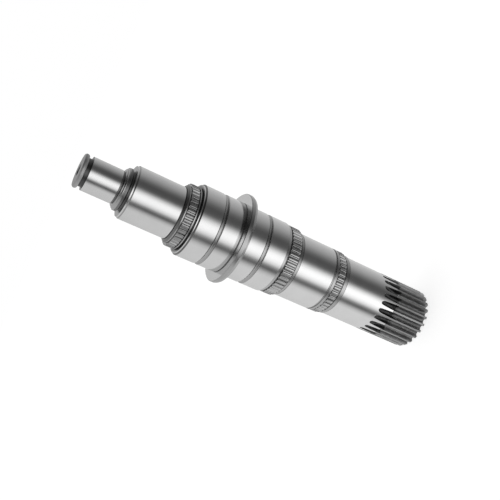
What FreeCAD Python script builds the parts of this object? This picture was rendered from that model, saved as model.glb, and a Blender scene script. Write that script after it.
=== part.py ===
import FreeCAD, Part
import math
import os

# Transmission main shaft, turned, hobbed and ground from one bar of steel.
# It stands on its toothed output end: the axis is +Z, the centre of that end is the origin.
# All sizes are in millimetres and are named from the output end upwards.

# Output toothing: straight gaps that end in run-outs, where the hob left the bar on its arc
output_teeth = 24
output_root_depth = 4.05
output_floor_width = 1.55
output_tip_width = 1.25
output_full_length = 25.8
output_end_chamfer = 1.0
output_end_chamfer_length = 1.6
hob_radius = 40.0
hob_overshoot = 1.8

# Tail seat, which the output toothing is cut into
tail_radius = 23.5
tail_length = 76.6

# Rear hub ring: straight teeth that carry a clutch hub
rear_hub_teeth = 41
rear_hub_turn = 4.1
rear_hub_radius = 24.95
rear_hub_tooth_length = 6.1
rear_hub_lower_land_radius = 23.95
rear_hub_lower_land_length = 2.0
rear_hub_gap_length = 1.9
rear_hub_upper_land_length = 2.1

# Rear gear journal, between the rear and the middle hub rings
rear_journal_radius = 25.0
rear_journal_length = 28.1

# Middle hub ring
middle_hub_teeth = 45
middle_hub_turn = -0.7
middle_hub_radius = 26.85
middle_hub_tooth_length = 6.7
middle_hub_land_radius = 25.6
middle_hub_land_length = 2.7
middle_hub_gap_length = 1.9

# Middle gear journal, below the collar
middle_journal_radius = 27.5
middle_journal_length = 33.6
middle_journal_chamfer = 0.6
middle_journal_chamfer_length = 2.2
middle_oil_groove_height = 16.2

# Collar that takes the end thrust of the gears on both sides
collar_radius = 34.8
collar_thickness = 4.9
collar_lower_chamfer = 0.9
collar_lower_chamfer_length = 2.0
collar_upper_chamfer = 0.4

# Front gear journal, above the collar
front_journal_radius = 27.5
front_journal_length = 33.6
front_journal_chamfer_length = 1.0
front_nose_radius = 26.5
front_nose_length = 0.7
front_oil_groove_height = 14.0

# Front hub ring
front_hub_teeth = 39
front_hub_turn = 4.2
front_hub_radius = 24.05
front_hub_tooth_length = 6.7
front_hub_gap_length = 0.7
front_hub_lower_land_length = 1.0
front_hub_upper_land_radius = 22.1
front_hub_upper_land_length = 1.2
front_hub_foot_radius = 20.6
front_hub_foot_length = 1.0

# Bearing journal
bearing_journal_radius = 20.0
bearing_journal_length = 37.2
bearing_journal_chamfer_length = 0.8
bearing_nose_radius = 19.2
bearing_nose_length = 1.0

# Lock nut thread, as the cylinder over its crests, with an undercut that slopes up to it
# and a chamfered start
thread_radius = 16.0
thread_length = 3.8
thread_chamfer = 2.2
thread_chamfer_length = 1.7
thread_undercut_radius = 14.5
thread_undercut_length = 2.1

# Pilot journal at the front end, with a groove for a retaining ring
pilot_radius = 12.5
pilot_relief_width = 1.65
pilot_length = 21.75
ring_groove_depth = 2.1
ring_groove_width = 2.7
end_disc_length = 3.3
end_disc_chamfer = 1.3

# Teeth of the hub rings: their tips and the floors of their gaps as shares of the pitch, and
# how far a land beside a ring stands over the tips
hub_tooth_depth = 0.95
hub_tip_share = 0.42
hub_floor_share = 0.28
hub_land_rise = 0.05

# Grinding reliefs at the ends of the rear and pilot journals, and oil grooves in the two wide
# journals
relief_depth = 0.6
rear_relief_width = 1.45
middle_relief_width = 1.25
oil_groove_width = 3.3
oil_groove_depth = 1.1

# Centre holes that held the bar between the points of the lathe
centre_hole_radius = 4.5
centre_hole_angle = 60.0
centre_floor_radius = 2.0


class TurnedOutline:
    """Half section of the turned shaft, drawn upwards from the middle of its lower end."""

    def __init__(self):
        self.edges = []
        self.radius = 0.0
        self.height = 0.0

    def point(self, radius, height):
        return FreeCAD.Vector(radius, 0.0, height)

    def start(self, radius, height):
        self.radius = radius
        self.height = height

    def go(self, radius, height):
        near = self.point(self.radius, self.height)
        far = self.point(radius, height)
        if near.distanceToPoint(far) > 1e-6:
            self.edges.append(Part.LineSegment(near, far).toShape())
            self.start(radius, height)

    def along(self, length):
        self.go(self.radius, self.height + length)

    def face(self, radius):
        self.go(radius, self.height)

    def cone(self, radius, length):
        self.go(radius, self.height + length)

    def square_groove(self, depth, width):
        land = self.radius
        self.face(land - depth)
        self.along(width)
        self.face(land)

    def revolve(self):
        closing = Part.LineSegment(
            self.point(self.radius, self.height), self.edges[0].Vertexes[0].Point).toShape()
        wire = Part.Wire(self.edges + [closing])
        axis = FreeCAD.Vector(0.0, 0.0, 1.0)
        return Part.Face(wire).revolve(FreeCAD.Vector(), axis, 360.0)


def centre_hole_depth():
    """Depth at which the cone of a centre hole has narrowed to its floor."""
    half_angle = math.radians(centre_hole_angle / 2.0)
    return (centre_hole_radius - centre_floor_radius) / math.tan(half_angle)


def hub_seat_radius(tip_radius):
    """Radius of the turned floor that a ring of teeth stands on."""
    return tip_radius - hub_tooth_depth - relief_depth


def turned_blank():
    """The whole shaft before its teeth, and the height where each hub ring starts."""
    outline = TurnedOutline()
    hub_heights = {}

    # Lower centre hole and end face
    outline.start(0.0, centre_hole_depth())
    outline.face(centre_floor_radius)
    outline.cone(centre_hole_radius, -centre_hole_depth())

    # Tail seat
    outline.face(tail_radius - output_end_chamfer)
    outline.cone(tail_radius, output_end_chamfer_length)
    outline.go(tail_radius, tail_length)

    # Rear hub ring
    outline.face(rear_hub_lower_land_radius)
    outline.along(rear_hub_lower_land_length)
    outline.face(hub_seat_radius(rear_hub_radius))
    outline.along(rear_hub_gap_length)
    hub_heights["rear"] = outline.height
    outline.along(rear_hub_tooth_length)
    outline.face(rear_hub_radius + hub_land_rise)
    outline.along(rear_hub_upper_land_length)

    # Rear gear journal
    outline.face(rear_journal_radius - relief_depth)
    outline.cone(rear_journal_radius, rear_relief_width)
    outline.along(rear_journal_length)
    outline.cone(rear_journal_radius - relief_depth, middle_relief_width)

    # Middle hub ring
    outline.face(middle_hub_land_radius)
    outline.along(middle_hub_land_length)
    outline.face(hub_seat_radius(middle_hub_radius))
    hub_heights["middle"] = outline.height
    outline.along(middle_hub_tooth_length)
    outline.along(middle_hub_gap_length)

    # Middle gear journal
    journal_bottom = outline.height
    outline.face(middle_journal_radius - middle_journal_chamfer)
    outline.cone(middle_journal_radius, middle_journal_chamfer_length)
    outline.go(middle_journal_radius, journal_bottom + middle_oil_groove_height)
    outline.square_groove(oil_groove_depth, oil_groove_width)
    outline.go(middle_journal_radius, journal_bottom + middle_journal_length)

    # Collar
    collar_top = outline.height + collar_thickness
    outline.face(collar_radius - collar_lower_chamfer)
    outline.cone(collar_radius, collar_lower_chamfer_length)
    outline.go(collar_radius, collar_top - collar_upper_chamfer)
    outline.cone(collar_radius - collar_upper_chamfer, collar_upper_chamfer)

    # Front gear journal
    journal_bottom = outline.height
    outline.face(front_journal_radius)
    outline.go(front_journal_radius, journal_bottom + front_oil_groove_height)
    outline.square_groove(oil_groove_depth, oil_groove_width)
    nose_bottom = journal_bottom + front_journal_length - front_nose_length
    outline.go(front_journal_radius, nose_bottom - front_journal_chamfer_length)
    outline.cone(front_nose_radius, front_journal_chamfer_length)
    outline.along(front_nose_length)

    # Front hub ring
    outline.face(hub_seat_radius(front_hub_radius))
    outline.along(front_hub_gap_length)
    outline.face(front_hub_radius + hub_land_rise)
    outline.along(front_hub_lower_land_length)
    outline.face(hub_seat_radius(front_hub_radius))
    hub_heights["front"] = outline.height
    outline.along(front_hub_tooth_length)
    outline.face(front_hub_upper_land_radius)
    outline.along(front_hub_upper_land_length)
    outline.cone(front_hub_foot_radius, front_hub_foot_length)

    # Bearing journal
    nose_bottom = outline.height + bearing_journal_length - bearing_nose_length
    outline.face(bearing_journal_radius)
    outline.go(bearing_journal_radius, nose_bottom - bearing_journal_chamfer_length)
    outline.cone(bearing_nose_radius, bearing_journal_chamfer_length)
    outline.along(bearing_nose_length)

    # Lock nut thread
    outline.face(thread_undercut_radius)
    outline.cone(thread_radius, thread_undercut_length)
    outline.along(thread_length - thread_chamfer_length)
    outline.cone(thread_radius - thread_chamfer, thread_chamfer_length)

    # Pilot journal, retaining ring groove and end disc
    outline.face(pilot_radius - relief_depth)
    outline.along(pilot_relief_width)
    outline.face(pilot_radius)
    outline.along(pilot_length)
    outline.square_groove(ring_groove_depth, ring_groove_width)
    outline.along(end_disc_length - end_disc_chamfer)
    outline.cone(pilot_radius - end_disc_chamfer, end_disc_chamfer)

    # Upper centre hole
    outline.face(centre_hole_radius)
    outline.cone(centre_floor_radius, -centre_hole_depth())
    outline.face(0.0)
    return outline.revolve(), hub_heights


def polar(radius, angle, height=0.0):
    return FreeCAD.Vector(radius * math.cos(angle), radius * math.sin(angle), height)


def hub_ring(teeth, tip_radius, length, height, turn):
    """Ring of straight teeth. One tooth is turned from -Y towards -X by the angle given."""
    root_radius = tip_radius - hub_tooth_depth
    inner_radius = hub_seat_radius(tip_radius) - relief_depth
    pitch = 2.0 * math.pi / teeth
    half_tip = hub_tip_share * pitch / 2.0
    half_floor = hub_floor_share * pitch / 2.0
    corners = []
    for tooth in range(teeth):
        middle = tooth * pitch - math.pi / 2.0 - math.radians(turn)
        corners.append(polar(tip_radius, middle - half_tip, height))
        corners.append(polar(tip_radius, middle + half_tip, height))
        corners.append(polar(root_radius, middle + pitch / 2.0 - half_floor, height))
        corners.append(polar(root_radius, middle + pitch / 2.0 + half_floor, height))
    section = Part.Face(Part.makePolygon(corners + corners[:1]))
    prism = section.extrude(FreeCAD.Vector(0.0, 0.0, length))
    core = Part.makeCylinder(inner_radius, length, FreeCAD.Vector(0.0, 0.0, height))
    return prism.cut(core)


def output_gap_section():
    """Section of one gap of the output toothing, across +X, with straight flanks."""
    root_radius = tail_radius - output_root_depth
    seat_width = 2.0 * math.pi * tail_radius / output_teeth - output_tip_width
    flank_slope = (seat_width - output_floor_width) / output_root_depth
    mouth_width = seat_width + flank_slope * hob_overshoot
    corners = [
        FreeCAD.Vector(root_radius, -output_floor_width / 2.0, 0.0),
        FreeCAD.Vector(tail_radius + hob_overshoot, -mouth_width / 2.0, 0.0),
        FreeCAD.Vector(tail_radius + hob_overshoot, mouth_width / 2.0, 0.0),
        FreeCAD.Vector(root_radius, output_floor_width / 2.0, 0.0),
    ]
    return Part.Face(Part.makePolygon(corners + corners[:1]))


def output_gap():
    """One gap: a straight cut of full depth, then the arc on which the hob left the seat."""
    section = output_gap_section()
    section.translate(FreeCAD.Vector(0.0, 0.0, output_full_length))
    straight = section.extrude(FreeCAD.Vector(0.0, 0.0, -output_full_length - hob_overshoot))
    hob_axis_radius = tail_radius - output_root_depth + hob_radius
    hob_axis = FreeCAD.Vector(hob_axis_radius, 0.0, output_full_length)
    exit_cosine = (hob_radius - output_root_depth - hob_overshoot) / hob_radius
    exit_angle = math.degrees(math.acos(exit_cosine))
    run_out = section.revolve(hob_axis, FreeCAD.Vector(0.0, 1.0, 0.0), exit_angle)
    return straight.fuse(run_out)


def output_gaps():
    """Every gap of the output toothing, with one tooth facing -Y."""
    gap = output_gap()
    pitch = 360.0 / output_teeth
    gaps = []
    for number in range(output_teeth):
        copy = gap.copy()
        turn = -90.0 + (number + 0.5) * pitch
        copy.rotate(FreeCAD.Vector(), FreeCAD.Vector(0.0, 0.0, 1.0), turn)
        gaps.append(copy)
    return gaps


def main_shaft():
    blank, heights = turned_blank()
    rear_ring = hub_ring(
        rear_hub_teeth, rear_hub_radius, rear_hub_tooth_length, heights["rear"], rear_hub_turn)
    middle_ring = hub_ring(
        middle_hub_teeth, middle_hub_radius, middle_hub_tooth_length, heights["middle"], middle_hub_turn)
    front_ring = hub_ring(
        front_hub_teeth, front_hub_radius, front_hub_tooth_length, heights["front"], front_hub_turn)
    shaft = blank.cut(output_gaps())
    return shaft.fuse([rear_ring, middle_ring, front_ring])


os.makedirs("parts", exist_ok=True)
shaft = main_shaft()
if shaft.ShapeType != "Solid":
    shaft = shaft.Solids[0]
shaft.exportStep("parts/main_shaft.step")
print("main_shaft", "valid" if shaft.isValid() else "not valid", round(shaft.Volume, 1), "mm3")
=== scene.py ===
import math

import bmesh
import bpy
from mathutils import Matrix, Vector


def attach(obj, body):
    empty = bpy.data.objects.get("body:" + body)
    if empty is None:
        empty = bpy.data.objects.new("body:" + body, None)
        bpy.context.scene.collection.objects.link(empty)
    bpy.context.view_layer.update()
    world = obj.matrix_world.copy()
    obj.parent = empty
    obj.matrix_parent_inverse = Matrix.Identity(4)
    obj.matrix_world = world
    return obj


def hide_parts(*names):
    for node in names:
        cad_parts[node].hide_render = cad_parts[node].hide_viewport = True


# The shaft stands on its toothed end, with its axis along +Z, as the frame holds it. Sizes are in
# millimetres, and every piece is made where it lies on the finished shaft.
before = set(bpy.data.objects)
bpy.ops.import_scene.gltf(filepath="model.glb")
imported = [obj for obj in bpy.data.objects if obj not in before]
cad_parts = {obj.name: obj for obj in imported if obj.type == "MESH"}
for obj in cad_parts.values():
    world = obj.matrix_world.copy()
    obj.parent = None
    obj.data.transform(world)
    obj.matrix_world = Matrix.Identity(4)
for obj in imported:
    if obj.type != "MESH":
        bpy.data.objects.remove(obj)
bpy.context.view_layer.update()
MM = 0.001


# Output toothing: 24 straight teeth at the end that stands on the floor, which carry the output
# flange. A hob cut the gaps from the end and left the bar on its own arc, so each gap ends in a
# rounded run-out, black from hardening. The tips are what is left of the ground seat.
def add_node(tree, kind, values=(), **settings):
    node = tree.nodes.new(kind)
    for key, value in settings.items():
        setattr(node, key, value)
    for socket, value in dict(values).items():
        node.inputs[socket].default_value = value
    return node


def noise(tree, scale, detail):
    """Noise on object coordinates, with its own scale along each axis."""
    place = add_node(tree, "ShaderNodeTexCoord")
    stretch = add_node(tree, "ShaderNodeMapping", {"Scale": scale})
    grain = add_node(tree, "ShaderNodeTexNoise", {"Scale": 1.0, "Detail": detail, "Roughness": 0.55})
    tree.links.new(place.outputs["Object"], stretch.inputs["Vector"])
    tree.links.new(stretch.outputs["Vector"], grain.inputs["Vector"])
    return grain.outputs["Fac"]


def spread(tree, source, low, high):
    """Turns the middle of a noise's range into values from low to high."""
    limits = {"From Min": 0.3, "From Max": 0.7, "To Min": low, "To Max": high}
    node = add_node(tree, "ShaderNodeMapRange", limits)
    tree.links.new(source, node.inputs["Value"])
    return node.outputs["Result"]


STAIN_RAGGED = 0.012
STAIN_EDGE = (-0.001, 0.0015)
STAIN_GREY = 0.24
EDGE_TINT = (0.85, 0.85, 0.85, 1.0)
LINE_STRENGTH = 0.4


def blackened(tree, grey, clouds, height):
    """The grey, turned nearly black above a height, with a mottled edge."""
    place = add_node(tree, "ShaderNodeTexCoord")
    parts = add_node(tree, "ShaderNodeSeparateXYZ")
    tree.links.new(place.outputs["Object"], parts.inputs["Vector"])
    ragged = add_node(tree, "ShaderNodeMath", {1: STAIN_RAGGED}, operation="MULTIPLY_ADD")
    tree.links.new(clouds, ragged.inputs[0])
    tree.links.new(parts.outputs["Z"], ragged.inputs[2])
    low, high = (height * MM + STAIN_RAGGED / 2.0 + side for side in STAIN_EDGE)
    limits = {"From Min": low, "From Max": high, "To Min": 1.0, "To Max": STAIN_GREY}
    share = add_node(tree, "ShaderNodeMapRange", limits, interpolation_type="SMOOTHSTEP")
    tree.links.new(ragged.outputs["Value"], share.inputs["Value"])
    darker = add_node(tree, "ShaderNodeMath", operation="MULTIPLY")
    tree.links.new(grey, darker.inputs[0])
    tree.links.new(share.outputs["Result"], darker.inputs[1])
    return darker.outputs["Value"]


def steel(name, greys, roughness, lines, line_depth, cloud=(60.0, 60.0, 90.0), black_above=None):
    """Steel with cloudy grey and gloss, and tool lines that follow the given scale.

    Its edges are tinted a little, so that it doesn't flare up where it is seen from the side.
    """
    material = bpy.data.materials.new(name)
    material.use_nodes = True
    tree = material.node_tree
    shader = tree.nodes["Principled BSDF"]
    shader.inputs["Metallic"].default_value = 1.0
    shader.inputs["Specular Tint"].default_value = EDGE_TINT
    clouds = noise(tree, cloud, 4.0)
    marks = noise(tree, lines, 2.0)
    grey = spread(tree, clouds, *greys)
    if black_above:
        grey = blackened(tree, grey, clouds, black_above)
    colour = add_node(tree, "ShaderNodeCombineColor")
    for channel in ("Red", "Green", "Blue"):
        tree.links.new(grey, colour.inputs[channel])
    tree.links.new(colour.outputs["Color"], shader.inputs["Base Color"])
    both = add_node(tree, "ShaderNodeMath", operation="ADD")
    tree.links.new(spread(tree, marks, 0.0, 0.5), both.inputs[0])
    tree.links.new(spread(tree, clouds, 0.0, 0.5), both.inputs[1])
    gloss = add_node(tree, "ShaderNodeMapRange", {"To Min": roughness[0], "To Max": roughness[1]})
    tree.links.new(both.outputs["Value"], gloss.inputs["Value"])
    tree.links.new(gloss.outputs["Result"], shader.inputs["Roughness"])
    bump = add_node(tree, "ShaderNodeBump", {"Strength": LINE_STRENGTH, "Distance": line_depth})
    tree.links.new(marks, bump.inputs["Height"])
    tree.links.new(bump.outputs["Normal"], shader.inputs["Normal"])
    return material


GRIND_LINES = (45.0, 45.0, 5200.0)
TURN_LINES = (70.0, 70.0, 2600.0)
LENGTH_LINES = (1900.0, 1900.0, 60.0)
GROUND = steel("ground_steel", (0.67, 0.71), (0.10, 0.19), GRIND_LINES, 0.0000025)
CUT_CLOUD = (500.0, 500.0, 400.0)
BLACK_ABOVE = 27.0
GAP_CUT = steel("hobbed_gap", (0.30, 0.44), (0.46, 0.60), LENGTH_LINES, 0.00002, CUT_CLOUD, BLACK_ABOVE)
GAP_FLOOR = steel("hobbed_floor", (0.15, 0.22), (0.46, 0.60), LENGTH_LINES, 0.00002, CUT_CLOUD,
                  BLACK_ABOVE)
TOOTH_TIP = steel("output_tooth_tip", (0.38, 0.48), (0.50, 0.62), LENGTH_LINES, 0.00001)
TURNED = steel("turned_steel", (0.40, 0.46), (0.20, 0.32), TURN_LINES, 0.000008)

TAIL_RADIUS = 23.5
OUTPUT_TEETH = 24
OUTPUT_ROOT_DEPTH = 4.05
OUTPUT_FULL_LENGTH = 25.8
OUTPUT_FLOOR_WIDTH = 3.0
OUTPUT_FLOOR_CORNER = 0.7
OUTPUT_FLANK_BULGE = 0.19
OUTPUT_TIP_WIDTH = 1.25
OUTPUT_END_CHAMFER = 1.0
OUTPUT_END_CHAMFER_LENGTH = 1.6
HOB_RADIUS = 40.0
TOOTHING_TOP = 44.0
SEAT_FOOT = 31.0
SEAT_REACH = 0.06
FLOOR_REACH = (-0.1, 0.35)
CENTRE_HOLE_RADIUS = 4.5
CENTRE_BORE_RADIUS = 2.0
CENTRE_CONE_DEPTH = 4.33
CENTRE_BORE_DEPTH = 9.0
FLOOR_STEPS = 4
FLANK_STEPS = 7
TIP_STEPS = 3


def skin(build, lines):
    """Faces between lines of corners. A line of one repeated corner makes a pole."""
    faces = []
    for low, high in zip(lines, lines[1:]):
        for k in range(len(low) - 1):
            corners = list(dict.fromkeys([low[k], low[k + 1], high[k + 1], high[k]]))
            if len(corners) > 2:
                faces.append(build.faces.new(corners))
    return faces


def arc_of(build, angles, radius, height):
    """A line of corners at one radius, or one repeated corner on the axis."""
    if radius < 1e-9:
        return [build.verts.new((0.0, 0.0, height * MM))] * len(angles)
    line = []
    for angle in angles:
        flat = radius * MM
        line.append(build.verts.new((flat * math.cos(angle), flat * math.sin(angle), height * MM)))
    return line


def gap_half(radius, root):
    """Half width of a gap at a radius, where its floor lies at the root radius."""
    mouth = (2.0 * math.pi * TAIL_RADIUS / OUTPUT_TEETH - OUTPUT_TIP_WIDTH) / 2.0
    floor = OUTPUT_FLOOR_WIDTH / 2.0
    return floor + (mouth - floor) * (radius - root) / OUTPUT_ROOT_DEPTH


def toothing_heights():
    run_out = math.sqrt(HOB_RADIUS ** 2 - (HOB_RADIUS - OUTPUT_ROOT_DEPTH) ** 2)
    heights = [0.0, 0.8, OUTPUT_END_CHAMFER_LENGTH, OUTPUT_END_CHAMFER_LENGTH + 0.3]
    heights += [OUTPUT_FULL_LENGTH * k / 6.0 for k in range(1, 7)]
    heights += [OUTPUT_FULL_LENGTH + run_out * math.sin(math.pi / 40.0 * k) for k in range(1, 20)]
    top = OUTPUT_FULL_LENGTH + run_out
    return heights + [top - 0.015, top + 0.01, TOOTHING_TOP]


def gap_side(height):
    """Angles and radii from the middle of a gap to the middle of a tooth, at one height."""
    outer = TAIL_RADIUS
    if height < OUTPUT_END_CHAMFER_LENGTH:
        outer -= OUTPUT_END_CHAMFER * (1.0 - height / OUTPUT_END_CHAMFER_LENGTH)
    beyond = max(0.0, height - OUTPUT_FULL_LENGTH)
    rise = HOB_RADIUS - math.sqrt(HOB_RADIUS ** 2 - beyond ** 2)
    root = min(TAIL_RADIUS - OUTPUT_ROOT_DEPTH + rise, outer)
    side = []
    for k in range(FLOOR_STEPS + 1):
        half = OUTPUT_FLOOR_WIDTH / 2.0 * k / FLOOR_STEPS
        radius = root + OUTPUT_FLOOR_CORNER * (k / FLOOR_STEPS) ** 3
        side.append((math.atan2(half, radius), min(math.hypot(half, radius), outer)))
    first = min(root + OUTPUT_FLOOR_CORNER, outer)
    for k in range(1, FLANK_STEPS + 1):
        radius = first + (outer - first) * k / FLANK_STEPS
        swell = math.sin(math.pi * k / FLANK_STEPS) * (outer - first) / OUTPUT_ROOT_DEPTH
        half = gap_half(radius, root) - OUTPUT_FLANK_BULGE * swell
        side.append((math.atan2(half, radius), min(math.hypot(half, radius), outer)))
    edge = side[-1][0]
    middle = math.pi / OUTPUT_TEETH
    for k in range(1, TIP_STEPS + 1):
        side.append((edge + (middle - edge) * k / TIP_STEPS, outer))
    return side


def toothing_pitch():
    """One pitch of the toothed end, from the middle of one tooth to the middle of the next.

    The lower end face has the finish of the tips.
    """
    build = bmesh.new()
    on_seat = build.faces.layers.bool.new("seat")
    on_tip = build.faces.layers.bool.new("tip")
    on_floor = build.faces.layers.bool.new("floor")
    root = TAIL_RADIUS - OUTPUT_ROOT_DEPTH
    turn = -math.pi / 2.0 + math.pi / OUTPUT_TEETH
    lines = []
    for height in toothing_heights():
        side = gap_side(height)
        line = []
        for angle, radius in [(-a, r) for a, r in side[:0:-1]] + side:
            flat = radius * MM
            place = (flat * math.cos(angle + turn), flat * math.sin(angle + turn), height * MM)
            line.append(build.verts.new(place))
        lines.append(line)
    angles = [math.atan2(v.co.y, v.co.x) for v in lines[-1]]
    inside = [(0.0, CENTRE_BORE_DEPTH), (CENTRE_BORE_RADIUS, CENTRE_BORE_DEPTH),
              (CENTRE_BORE_RADIUS, CENTRE_CONE_DEPTH), (CENTRE_HOLE_RADIUS, 0.0)]
    hole = [arc_of(build, angles, radius, height) for radius, height in inside]
    cap = [arc_of(build, angles, 0.0, TOOTHING_TOP)]
    skin(build, hole + lines + cap)
    for face in build.faces:
        middle = face.calc_center_median()
        out = math.hypot(middle.x, middle.y) / MM
        height = middle.z / MM
        outside = out > TAIL_RADIUS - SEAT_REACH
        face[on_seat] = outside and height > SEAT_FOOT
        face[on_tip] = outside and height < SEAT_FOOT or height < 0.01
        face[on_floor] = FLOOR_REACH[0] < out - root < FLOOR_REACH[1] and height < TOOTHING_TOP
    mesh = bpy.data.meshes.new("toothing_pitch")
    build.to_mesh(mesh)
    build.free()
    return mesh


def ring_tree(zones):
    """Geometry nodes that set copies of one pitch round the axis and weld them into a ring.

    Each zone is a set of faces that the pitch names, and takes a finish of its own.
    """
    tree = bpy.data.node_groups.new("round_the_axis", "GeometryNodeTree")
    inputs = {"Pitch": "Geometry", "Count": "Int", "Weld": "Float", "rest": "Material"}
    inputs.update({zone: "Material" for zone in zones})
    for name, kind in inputs.items():
        tree.interface.new_socket(name, in_out="INPUT", socket_type="NodeSocket" + kind)
    tree.interface.new_socket("Ring", in_out="OUTPUT", socket_type="NodeSocketGeometry")
    given = add_node(tree, "NodeGroupInput")
    points = add_node(tree, "GeometryNodePoints")
    index = add_node(tree, "GeometryNodeInputIndex")
    step = add_node(tree, "ShaderNodeMath", {0: 2.0 * math.pi}, operation="DIVIDE")
    turn = add_node(tree, "ShaderNodeMath", operation="MULTIPLY")
    rotation = add_node(tree, "ShaderNodeCombineXYZ")
    copies = add_node(tree, "GeometryNodeInstanceOnPoints")
    real = add_node(tree, "GeometryNodeRealizeInstances")
    weld = add_node(tree, "GeometryNodeMergeByDistance")
    link = tree.links.new
    link(given.outputs["Count"], points.inputs["Count"])
    link(given.outputs["Count"], step.inputs[1])
    link(index.outputs["Index"], turn.inputs[0])
    link(step.outputs["Value"], turn.inputs[1])
    link(turn.outputs["Value"], rotation.inputs["Z"])
    link(points.outputs["Points"], copies.inputs["Points"])
    link(given.outputs["Pitch"], copies.inputs["Instance"])
    link(rotation.outputs["Vector"], copies.inputs["Rotation"])
    link(copies.outputs["Instances"], real.inputs["Geometry"])
    link(real.outputs["Geometry"], weld.inputs["Geometry"])
    link(given.outputs["Weld"], weld.inputs["Distance"])
    whole = add_node(tree, "GeometryNodeSetMaterial")
    link(weld.outputs["Geometry"], whole.inputs["Geometry"])
    link(given.outputs["rest"], whole.inputs["Material"])
    made = whole.outputs["Geometry"]
    for zone in zones:
        where = add_node(tree, "GeometryNodeInputNamedAttribute", {"Name": zone}, data_type="BOOLEAN")
        paint = add_node(tree, "GeometryNodeSetMaterial")
        link(where.outputs["Attribute"], paint.inputs["Selection"])
        link(given.outputs[zone], paint.inputs["Material"])
        link(made, paint.inputs["Geometry"])
        made = paint.outputs["Geometry"]
    end = add_node(tree, "NodeGroupOutput")
    link(made, end.inputs["Ring"])
    return tree


WELD = 0.000001


def keep(piece):
    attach(piece, "root")
    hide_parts("main_shaft")


def ring_of(name, pitch_mesh, count, finishes, sharp):
    """A whole ring as a plain mesh, made of copies of one pitch."""
    tree = ring_tree([zone for zone in finishes if zone != "rest"])
    piece = bpy.data.objects.new(name, pitch_mesh)
    bpy.context.scene.collection.objects.link(piece)
    modifier = piece.modifiers.new("ring", "NODES")
    modifier.node_group = tree
    socket = {s.name: s.identifier for s in tree.interface.items_tree if s.in_out == "INPUT"}
    modifier[socket["Count"]] = count
    modifier[socket["Weld"]] = WELD
    for zone, finish in finishes.items():
        modifier[socket[zone]] = finish
    bpy.context.view_layer.update()
    ready = piece.evaluated_get(bpy.context.evaluated_depsgraph_get())
    mesh = bpy.data.meshes.new_from_object(ready)
    mesh.name = name
    piece.modifiers.clear()
    piece.data = mesh
    build = bmesh.new()
    build.from_mesh(mesh)
    bmesh.ops.recalc_face_normals(build, faces=build.faces)
    for face in build.faces:
        face.smooth = True
    build.to_mesh(mesh)
    build.free()
    mesh.set_sharp_from_angle(angle=math.radians(sharp))
    keep(piece)


ring_of("output_toothing", toothing_pitch(), OUTPUT_TEETH,
        {"rest": GAP_CUT, "seat": GROUND, "tip": TOOTH_TIP, "floor": GAP_FLOOR}, 30.0)


# Tail seat: the ground seat above the toothing that the rear bearing is pressed on to, up to the
# thin groove under the rear hub ring. It is turned between centres and ground to size.
# The dark and black finishes are painted shade: they darken reliefs, grooves, lands, chamfers and the
# centre holes where the steel lies in shade, and on chamfers they are also a painted dark reflection.
PAINTED_SHADE_STEEL = steel("painted_shade_steel", (0.17, 0.25), (0.28, 0.42), TURN_LINES, 0.00001)
PAINTED_DEEP_SHADE_STEEL = steel("painted_deep_shade_steel", (0.07, 0.12), (0.28, 0.40), TURN_LINES, 0.00001)
ROUGH_TURNED = steel("rough_turned_steel", (0.42, 0.52), (0.48, 0.60), TURN_LINES, 0.00001)
FINISHES = {"ground": GROUND, "turned": TURNED, "dark": PAINTED_SHADE_STEEL, "black": PAINTED_DEEP_SHADE_STEEL,
            "rough": ROUGH_TURNED}
INDEX = {name: k for k, name in enumerate(FINISHES)}
SEGMENTS = 360
CORNER_STEPS = 3
CORNER_REACH = 0.4
SUPPORT = 0.12
SPIGOT = 0.6
SINK = 0.4


def rounded(points):
    """Rings of an outline with its corners rounded and a support ring beside each corner."""
    rings = []
    for i, (radius, height, corner, finish) in enumerate(points):
        here = Vector((radius, height))
        if i == 0 or i == len(points) - 1 or corner <= 0.0:
            rings.append((radius, height, finish))
            continue
        below_finish = points[i - 1][3]
        before = Vector(points[i - 1][:2]) - here
        after = Vector(points[i + 1][:2]) - here
        half = before.angle(after) / 2.0
        reach = min(corner / math.tan(half), CORNER_REACH * min(before.length, after.length))
        toward = before.normalized() + after.normalized()
        middle = here + toward.normalized() * reach / math.cos(half)
        start = here + before.normalized() * reach
        end = here + after.normalized() * reach
        if before.length - reach > 3.0 * SUPPORT:
            near = start + before.normalized() * SUPPORT
            rings.append((near.x, near.y, below_finish))
        turn = (start - middle).angle_signed(end - middle)
        for step in range(CORNER_STEPS + 1):
            share = step / CORNER_STEPS
            place = middle + Matrix.Rotation(-turn * share, 2) @ (start - middle)
            rings.append((place.x, place.y, below_finish if share < 0.5 else finish))
        if after.length - reach > 3.0 * SUPPORT:
            near = end + after.normalized() * SUPPORT
            rings.append((near.x, near.y, finish))
    return rings


def finished(name, build, sharp):
    """Makes a piece of a built shape, with all the finishes on it."""
    bmesh.ops.recalc_face_normals(build, faces=build.faces)
    for face in build.faces:
        face.smooth = True
    mesh = bpy.data.meshes.new(name)
    build.to_mesh(mesh)
    build.free()
    for material in FINISHES.values():
        mesh.materials.append(material)
    mesh.set_sharp_from_angle(angle=math.radians(sharp))
    piece = bpy.data.objects.new(name, mesh)
    bpy.context.scene.collection.objects.link(piece)
    keep(piece)


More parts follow.
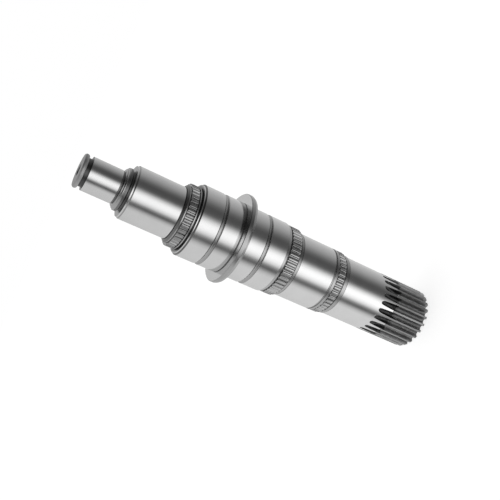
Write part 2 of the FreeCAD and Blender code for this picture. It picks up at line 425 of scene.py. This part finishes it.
def turned(name, points):
    """A closed turned piece. Its foot is a spigot that sits in the piece below.

    A point is its radius, height, corner radius and the finish of the stretch above it; dark and black
    are painted shade.
    """
    spigot = SPIGOT * points[0][0]
    foot = points[0][1]
    closed = [(0.0, foot - SINK, 0.0, "dark"), (spigot, foot - SINK, 0.0, "dark"),
              (spigot, foot, 0.0, "dark")] + points
    if points[-1][0] > 0.0:
        closed.append((0.0, points[-1][1], 0.0, "dark"))
    build = bmesh.new()
    angles = [2.0 * math.pi * k / SEGMENTS for k in range(SEGMENTS)]
    rings = rounded(closed)
    lines = []
    for radius, height, finish in rings:
        line = arc_of(build, angles, radius, height)
        lines.append(line + line[:1])
    for low, high, ring in zip(lines, lines[1:], rings):
        for face in skin(build, [low, high]):
            face.material_index = INDEX[ring[2]]
    finished(name, build, 32.0)


turned("tail_seat", [
    (23.5, TOOTHING_TOP, 0.0, "ground"), (23.5, 76.1, 0.12, "turned"), (23.3, 76.2, 0.08, "turned"),
    (23.3, 76.6, 0.0, "dark")])


# Rear hub ring: 41 straight teeth that carry a clutch hub, rolled on a turned floor between two
# lands. The lower land is smaller than the tips of the teeth, so that the hub slides over it.
HUB_TOOTH_DEPTH = 0.95
HUB_TIP_SHARE = 0.42
HUB_FLOOR_SHARE = 0.28
HUB_RING_WALL = 1.5
HUB_END_DROP = 0.4
HUB_END_ROUND = 0.12
HUB_END_SHARE = 0.8
HUB_END_REACH = 0.1
HUB_FLANK_SHAPE = [(0.08, 0.05), (0.3, 0.266), (0.7, 0.703), (0.95, 0.88)]
HUB_TIP_CROWN = 0.01
HUB_TIP_REACH = 0.12
HUB_FLOOR_REACH = (-0.02, 0.05)
# The flanks and gap floors are painted a darker grey than the tips, as painted shade between the teeth.
HUB_TIP = steel("hub_tooth_tip", (0.44, 0.54), (0.20, 0.30), LENGTH_LINES, 0.00001)
HUB_FLANK = steel("hub_tooth_flank", (0.32, 0.40), (0.18, 0.28), LENGTH_LINES, 0.00001)
HUB_FLOOR = steel("hub_gap_floor", (0.34, 0.42), (0.20, 0.30), LENGTH_LINES, 0.00001)


def hub_pitch(name, count, tip_radius, bottom, top, turn):
    """One pitch of hub teeth, from the middle of a gap to the middle of the next."""
    root = tip_radius - HUB_TOOTH_DEPTH
    pitch = 2.0 * math.pi / count
    floor = HUB_FLOOR_SHARE * pitch / 2.0
    tip = pitch / 2.0 - HUB_TIP_SHARE * pitch / 2.0
    slope = tip - floor
    side = [(0.0, root), (0.8 * floor, root)]
    side += [(floor + share * slope, root + rise) for share, rise in HUB_FLANK_SHAPE]
    side += [(tip + 0.02 * pitch, tip_radius - HUB_TIP_CROWN), (pitch / 2.0, tip_radius)]
    section = side + [(pitch - a, r) for a, r in side[-2::-1]]
    start = -math.pi / 2.0 - math.radians(turn) - pitch / 2.0
    build = bmesh.new()
    on_tip = build.faces.layers.bool.new("tip")
    on_floor = build.faces.layers.bool.new("floor")
    on_end = build.faces.layers.bool.new("end")
    levels = [(bottom, HUB_END_DROP), (bottom + HUB_END_ROUND, HUB_END_ROUND),
              (bottom + HUB_END_DROP, 0.0), (top - HUB_END_DROP, 0.0),
              (top - HUB_END_ROUND, HUB_END_ROUND), (top, HUB_END_DROP)]
    lines = []
    for height, drop in levels:
        line = []
        for angle, radius in section:
            flat = (radius - min(drop, HUB_END_SHARE * (radius - root))) * MM
            place = (flat * math.cos(start + angle), flat * math.sin(start + angle), height * MM)
            line.append(build.verts.new(place))
        lines.append(line)
    angles = [start + angle for angle, radius in section]
    inner = root - HUB_RING_WALL
    under = arc_of(build, angles, inner, bottom)
    over = arc_of(build, angles, inner, top)
    skin(build, [under] + lines + [over, under])
    for face in build.faces:
        middle = face.calc_center_median()
        out = math.hypot(middle.x, middle.y) / MM
        face[on_tip] = out > tip_radius - HUB_TIP_REACH
        face[on_floor] = HUB_FLOOR_REACH[0] < out - root < HUB_FLOOR_REACH[1]
        face[on_end] = not bottom + HUB_END_REACH < middle.z / MM < top - HUB_END_REACH
    mesh = bpy.data.meshes.new(name)
    build.to_mesh(mesh)
    build.free()
    return mesh


def hub_ring(name, count, tip_radius, bottom, top, turn, tip_finish=HUB_TIP):
    pitch_mesh = hub_pitch(name + "_pitch", count, tip_radius, bottom, top, turn)
    finishes = {"rest": HUB_FLANK, "tip": tip_finish, "floor": HUB_FLOOR, "end": TURNED}
    ring_of(name, pitch_mesh, count, finishes, 40.0)


turned("rear_hub_seat", [
    (23.95, 76.6, 0.1, "turned"), (23.95, 79.3, 0.12, "dark"), (23.4, 79.35, 0.15, "dark"),
    (23.4, 86.0, 0.0, "dark"), (24.0, 86.05, 0.08, "dark"), (24.0, 86.6, 0.08, "dark"),
    (25.0, 86.65, 0.12, "turned"), (25.0, 88.7, 0.0, "turned")])
hub_ring("rear_hub_teeth", 41, 24.95, 80.4, 86.0, 4.1)


# Rear gear journal: the ground bearing surface of one gear, with a turned grinding relief at
# each end, where the wheel runs out.
turned("rear_gear_journal", [
    (24.5, 88.7, 0.0, "turned"), (24.5, 89.6, 0.2, "turned"), (25.0, 90.15, 0.2, "ground"),
    (25.0, 118.25, 0.15, "turned"), (24.7, 118.4, 0.2, "turned"), (24.7, 119.5, 0.0, "dark")])


# Middle hub ring: 45 rolled teeth on the largest of the three turned floors, with a narrow land
# and a groove below them.
turned("middle_hub_seat", [
    (25.6, 119.5, 0.12, "turned"), (25.6, 120.8, 0.12, "turned"), (25.2, 120.9, 0.15, "dark"),
    (25.2, 121.4, 0.2, "dark"), (25.3, 121.6, 0.0, "dark"), (25.3, 130.8, 0.0, "dark")])
hub_ring("middle_hub_teeth", 45, 26.85, 121.6, 129.4, -0.7)


# Middle gear journal: the ground bearing surface between the middle ring and the collar. Its oil
# groove was turned with a round-nosed tool, and a long chamfer leads the gear on.
OIL_GROOVE_DEPTH = 1.1
OIL_GROOVE_STEPS = 12


def oil_groove(radius, bottom, top):
    """Points of a groove on the arc of its round-nosed tool."""
    half = (top - bottom) / 2.0
    nose = (half ** 2 + OIL_GROOVE_DEPTH ** 2) / (2.0 * OIL_GROOVE_DEPTH)
    swing = math.asin(half / nose)
    points = []
    for k in range(OIL_GROOVE_STEPS + 1):
        angle = swing * (2.0 * k / OIL_GROOVE_STEPS - 1.0)
        drop = OIL_GROOVE_DEPTH - nose * (1.0 - math.cos(angle))
        points.append((radius - drop, (bottom + top) / 2.0 + nose * math.sin(angle), 0.0, "turned"))
    return points[:-1] + [(radius, top, 0.0, "ground")]


turned("middle_gear_journal", [
    (26.9, 130.8, 0.15, "turned"), (27.5, 133.0, 0.5, "ground"),
    *oil_groove(27.5, 147.0, 150.3), (27.5, 164.4, 0.0, "dark")])


# Collar: the shoulder that takes the end thrust of the gears on both sides. Its faces are ground
# almost to a mirror, and its rim is turned, with a wide chamfer below and a fine one above.
turned("collar", [
    (27.0, 164.4, 0.0, "ground"), (33.9, 164.4, 0.15, "turned"), (34.8, 166.4, 0.25, "turned"),
    (34.8, 168.85, 0.12, "turned"), (34.35, 169.3, 0.12, "ground"), (27.0, 169.3, 0.0, "ground")])


# Front gear journal: the ground bearing surface above the collar, with a relief at its foot, an
# oil groove and a stepped nose.
turned("front_gear_journal", [
    (27.2, 169.3, 0.0, "dark"), (27.2, 169.75, 0.15, "dark"), (27.5, 169.85, 0.1, "ground"),
    *oil_groove(27.5, 183.3, 186.6), (27.5, 201.2, 0.15, "dark"), (26.5, 202.2, 0.12, "ground"),
    (26.5, 202.9, 0.12, "turned"), (25.5, 202.9, 0.0, "dark"), (22.6, 202.9, 0.0, "dark")])


# Front hub ring: 39 rolled teeth with a land level with their tips below, and a smaller land and
# a cone above, over which the hub slides on. The tips are duller than those of the other rings.
turned("front_hub_seat", [
    (22.5, 202.9, 0.0, "dark"), (22.5, 203.6, 0.2, "dark"), (24.1, 203.7, 0.12, "turned"),
    (24.1, 204.75, 0.12, "dark"), (23.0, 204.8, 0.1, "dark"), (22.5, 205.1, 0.1, "dark"),
    (22.5, 210.9, 0.0, "turned"), (22.0, 210.95, 0.08, "dark"), (22.0, 211.2, 0.08, "dark"),
    (22.3, 211.25, 0.08, "turned"), (22.3, 212.1, 0.1, "dark"), (20.6, 213.5, 0.1, "dark"),
    (19.6, 213.5, 0.0, "dark")])
DULL_TIP = steel("dull_tooth_tip", (0.30, 0.40), (0.26, 0.38), LENGTH_LINES, 0.00001)
hub_ring("front_hub_teeth", 39, 24.05, 205.1, 210.9, 4.2, DULL_TIP)


# Bearing journal: the ground seat of the front bearing, with a fine relief at its foot and a
# stepped nose that leads the bearing on.
turned("bearing_journal", [
    (19.6, 213.5, 0.0, "dark"), (19.6, 213.95, 0.1, "dark"), (20.0, 214.05, 0.1, "ground"),
    (20.0, 248.9, 0.15, "turned"), (19.2, 249.7, 0.12, "ground"), (19.2, 250.65, 0.12, "turned"),
    (18.9, 250.7, 0.05, "turned"), (14.0, 250.7, 0.0, "turned")])


# Lock nut thread: a short fine thread that the nut of the front bearing screws on to, single
# start, cut between an undercut and a chamfered start.
THREAD_PITCH = 1.1
THREAD_DEPTH = 0.5
THREAD_FOOT = 250.7
THREAD_TOP = 256.9
THREAD_RUN_OUT = 252.9
THREAD_RUN_IN = 255.5
THREAD_CREST = 255.3
THREAD_STEPS = 10
# Below this height the thread and its undercut are painted dark, as painted shade in the lower turns.
THREAD_BRIGHT_FROM = 254.2
THREAD_SPIGOT = [(0.0, THREAD_FOOT - SINK), (8.0, THREAD_FOOT - SINK), (8.0, THREAD_FOOT)]
THREAD_BLANK = [
    (THREAD_FOOT, 14.5), (251.6, 14.5), (252.4, 15.9), (252.6, 16.0), (254.9, 16.0), (THREAD_TOP, 13.6)]


def blank_radius(height):
    """Radius of the turned blank that the thread is cut in."""
    for (low, near), (high, far) in zip(THREAD_BLANK, THREAD_BLANK[1:]):
        if height <= high:
            return near + (far - near) * (height - low) / (high - low)
    return THREAD_BLANK[-1][1]


def lock_nut_thread():
    build = bmesh.new()
    angles = [2.0 * math.pi * k / SEGMENTS for k in range(SEGMENTS)]
    step = THREAD_PITCH / THREAD_STEPS
    heights = [THREAD_FOOT + step * k for k in range(int((THREAD_TOP - THREAD_FOOT) / step))]
    lines = []
    for radius, height in THREAD_SPIGOT:
        line = arc_of(build, angles, radius, height)
        lines.append(line + line[:1])
    for height in heights + [THREAD_TOP]:
        line = []
        for angle in angles:
            turns = (height - THREAD_CREST) / THREAD_PITCH + (angle + math.pi / 2.0) / (2.0 * math.pi)
            cut = THREAD_DEPTH * (1.0 - math.cos(2.0 * math.pi * turns)) / 2.0
            fade = (height - THREAD_RUN_OUT) / (THREAD_RUN_IN - THREAD_RUN_OUT)
            flat = (blank_radius(height) - cut * min(1.0, max(0.0, fade))) * MM
            line.append(build.verts.new((flat * math.cos(angle), flat * math.sin(angle), height * MM)))
        lines.append(line + line[:1])
    cap = arc_of(build, angles, 0.0, THREAD_TOP)
    skin(build, lines + [cap + cap[:1]])
    for face in build.faces:
        low = face.calc_center_median().z / MM < THREAD_BRIGHT_FROM
        face.material_index = INDEX["dark" if low else "turned"]
    finished("lock_nut_thread", build, 50.0)


lock_nut_thread()


# Pilot journal: the ground front end that runs in the pilot bearing, with a relief at its foot,
# a square groove for a retaining ring, painted near black as deep shade, and a plain end disc with the
# centre hole of the lathe.
turned("pilot_journal", [
    (11.9, 256.9, 0.0, "dark"), (11.9, 258.15, 0.2, "dark"), (12.5, 258.25, 0.12, "ground"),
    (12.5, 280.0, 0.12, "dark"), (10.4, 280.0, 0.25, "black"), (10.4, 282.7, 0.25, "black"),
    (12.0, 283.0, 0.3, "rough"), (12.5, 284.0, 0.4, "rough"), (12.5, 285.1, 0.4, "rough"),
    (11.7, 286.0, 0.3, "rough"), (CENTRE_HOLE_RADIUS, 286.0, 0.12, "dark"),
    (CENTRE_BORE_RADIUS, 286.0 - CENTRE_CONE_DEPTH, 0.0, "dark"),
    (CENTRE_BORE_RADIUS, 286.0 - CENTRE_BORE_DEPTH, 0.0, "dark"),
    (0.0, 286.0 - CENTRE_BORE_DEPTH, 0.0, "dark")])


# Studio: soft white light all round, brightest before the shaft, with two dark flags beside the
# bright part, which draw long bands in the ground steel. High up before the shaft and at its +X
# side, and straight below, it is dark, so that chamfers and round corners show as thin dark lines.
SURROUND = [
    (-180, 0.80), (-150, 0.80), (-120, 0.57), (-100, 0.43), (-80, 0.24), (-70, 0.15), (-58, 0.095),
    (-44, 0.105), (-36, 0.155), (-28, 0.43), (-20, 0.91), (-10, 1.32), (0, 1.40), (10, 1.27),
    (20, 0.92), (27, 0.44), (34, 0.19), (41, 0.14), (48, 0.38), (56, 0.65), (66, 0.80), (150, 0.80),
    (180, 0.78)]
BRIGHTEST = 1.4
# A fade is two heights, or two reaches to a side, and the share of light at the one and the other.
HIGH = (0.55, 0.8, 0.0, 1.0)
HIGH_BEHIND = (-0.1, 0.35, 0.2, 0.85)
OVERHEAD = (0.965, 0.99, 0.0, 0.9)
BELOW = (-0.99, -0.94, 0.2, 1.0)
SLOPE = (-0.6, -0.05, 1.12, 0.92)
SHADE_SIDE = (0.4, 0.8, 0.0, 1.0)
SHADE_HEIGHT = (0.05, 0.35, 0.0, 0.75)
BEHIND = (-0.8, 0.6, 0.0)
PLUS_X = (1.0, -0.25, 0.0)


def world_part(tree, source, fade):
    limits = dict(zip(("From Min", "From Max", "To Min", "To Max"), fade))
    node = add_node(tree, "ShaderNodeMapRange", limits, interpolation_type="SMOOTHSTEP")
    tree.links.new(source, node.inputs["Value"])
    return node.outputs["Result"]


def along(tree, place, side):
    """How far a direction reaches to a side."""
    node = add_node(tree, "ShaderNodeVectorMath", {1: side}, operation="DOT_PRODUCT")
    tree.links.new(place, node.inputs[0])
    return node.outputs["Value"]


def joined(tree, operation, first, second):
    """One value made of two, each a socket or a number."""
    node = add_node(tree, "ShaderNodeMath", operation=operation)
    for k, value in enumerate((first, second)):
        if isinstance(value, float):
            node.inputs[k].default_value = value
        else:
            tree.links.new(value, node.inputs[k])
    return node.outputs["Value"]


def studio_light():
    world = bpy.data.worlds.new("studio")
    world.use_nodes = True
    tree = world.node_tree
    tree.nodes.clear()
    link = tree.links.new
    place = add_node(tree, "ShaderNodeTexCoord")
    parts = add_node(tree, "ShaderNodeSeparateXYZ")
    link(place.outputs["Generated"], parts.inputs["Vector"])
    turned_back = [joined(tree, "MULTIPLY", parts.outputs[axis], -1.0) for axis in ("X", "Y")]
    bearing = joined(tree, "ARCTAN2", *turned_back)
    share = add_node(tree, "ShaderNodeMapRange", {"From Min": -math.pi, "From Max": math.pi})
    link(bearing, share.inputs["Value"])
    ramp = add_node(tree, "ShaderNodeValToRGB")
    stops = ramp.color_ramp.elements
    while len(stops) < len(SURROUND):
        stops.new(1.0)
    for stop, (angle, level) in zip(stops, SURROUND):
        stop.position = (angle + 180.0) / 360.0
        grey = level / BRIGHTEST
        stop.color = (grey, grey, grey, 1.0)
    link(share.outputs["Result"], ramp.inputs["Fac"])
    height = parts.outputs["Z"]
    upper = add_node(tree, "ShaderNodeMix", {"A": 1.0}, data_type="FLOAT")
    link(world_part(tree, height, HIGH), upper.inputs["Factor"])
    back = along(tree, place.outputs["Generated"], BEHIND)
    link(world_part(tree, back, HIGH_BEHIND), upper.inputs["B"])
    side = world_part(tree, along(tree, place.outputs["Generated"], PLUS_X), SHADE_SIDE)
    shade = joined(tree, "MULTIPLY", side, world_part(tree, height, SHADE_HEIGHT))
    level = joined(tree, "SUBTRACT", 1.0, shade)
    top = joined(tree, "MAXIMUM", upper.outputs["Result"], world_part(tree, height, OVERHEAD))
    for factor in (top, world_part(tree, height, BELOW), world_part(tree, height, SLOPE)):
        level = joined(tree, "MULTIPLY", level, factor)
    strength = joined(tree, "MULTIPLY", level, BRIGHTEST)
    around = add_node(tree, "ShaderNodeBackground")
    link(ramp.outputs["Color"], around.inputs["Color"])
    link(strength, around.inputs["Strength"])
    seen = add_node(tree, "ShaderNodeBackground", {"Color": (1.0, 1.0, 1.0, 1.0), "Strength": 1.0})
    path = add_node(tree, "ShaderNodeLightPath")
    mix = add_node(tree, "ShaderNodeMixShader")
    link(path.outputs["Is Camera Ray"], mix.inputs["Fac"])
    link(around.outputs["Background"], mix.inputs[1])
    link(seen.outputs["Background"], mix.inputs[2])
    out = add_node(tree, "ShaderNodeOutputWorld")
    link(mix.outputs["Shader"], out.inputs["Surface"])
    bpy.context.scene.world = world


studio_light()


# Floor: a plain white sheet that keeps a faint shadow at the shaft's foot. The polished steel
# looks through it, as it would over a table of glass.
FLOOR_RADIUS = 3.0
FLOOR_GAP = 0.1
FLOOR_GREY = (0.7, 0.7, 0.7, 1.0)
FLOOR_LIFT = 0.76


def floor_finish():
    material = bpy.data.materials.new("floor_white")
    material.use_nodes = True
    tree = material.node_tree
    tree.nodes.clear()
    link = tree.links.new
    paper = add_node(tree, "ShaderNodeBsdfDiffuse", {"Color": FLOOR_GREY})
    lift = add_node(tree, "ShaderNodeEmission", {"Color": (1.0, 1.0, 1.0, 1.0), "Strength": FLOOR_LIFT})
    lifted = add_node(tree, "ShaderNodeAddShader")
    link(paper.outputs["BSDF"], lifted.inputs[0])
    link(lift.outputs["Emission"], lifted.inputs[1])
    path = add_node(tree, "ShaderNodeLightPath")
    seen = add_node(tree, "ShaderNodeMixShader")
    link(path.outputs["Is Camera Ray"], seen.inputs["Fac"])
    link(paper.outputs["BSDF"], seen.inputs[1])
    link(lifted.outputs["Shader"], seen.inputs[2])
    glass = add_node(tree, "ShaderNodeBsdfTransparent")
    mirrored = add_node(tree, "ShaderNodeMixShader")
    link(path.outputs["Is Glossy Ray"], mirrored.inputs["Fac"])
    link(seen.outputs["Shader"], mirrored.inputs[1])
    link(glass.outputs["BSDF"], mirrored.inputs[2])
    out = add_node(tree, "ShaderNodeOutputMaterial")
    link(mirrored.outputs["Shader"], out.inputs["Surface"])
    return material


floor_mesh = bpy.data.meshes.new("floor")
floor_build = bmesh.new()
floor_place = Matrix.Translation((0.0, 0.0, -FLOOR_GAP * MM))
bmesh.ops.create_circle(floor_build, cap_ends=True, radius=FLOOR_RADIUS, segments=96, matrix=floor_place)
floor_build.to_mesh(floor_mesh)
floor_build.free()
floor_mesh.materials.append(floor_finish())
floor = bpy.data.objects.new("floor", floor_mesh)
bpy.context.scene.collection.objects.link(floor)


# Camera: it looks at the shaft from the side and a little above, rolled over so that the shaft
# lies across the picture with its small end up and to the left.
LOOK_DOWN = math.radians(20.22)
CAMERA_DISTANCE = 554.9
AIM = Vector((-2.055, 0.0, 149.49))
ROLL = math.radians(24.19)
LENS = 54.0
SENSOR = 36.0
camera_data = bpy.data.cameras.new("camera")
camera_data.lens = LENS
camera_data.sensor_width = SENSOR
camera = bpy.data.objects.new("camera", camera_data)
forward = Vector((0.0, math.cos(LOOK_DOWN), -math.sin(LOOK_DOWN)))
down_axis = Vector((0.0, -math.sin(LOOK_DOWN), -math.cos(LOOK_DOWN)))
sideways = Vector((1.0, 0.0, 0.0))
right = math.cos(ROLL) * down_axis + math.sin(ROLL) * sideways
up = math.cos(ROLL) * sideways - math.sin(ROLL) * down_axis
facing = Matrix((right, up, -forward)).transposed().to_4x4()
camera.matrix_world = Matrix.Translation((AIM - forward * CAMERA_DISTANCE) * MM) @ facing
bpy.context.scene.collection.objects.link(camera)
bpy.context.scene.camera = camera
bpy.context.scene.view_settings.view_transform = "Standard"
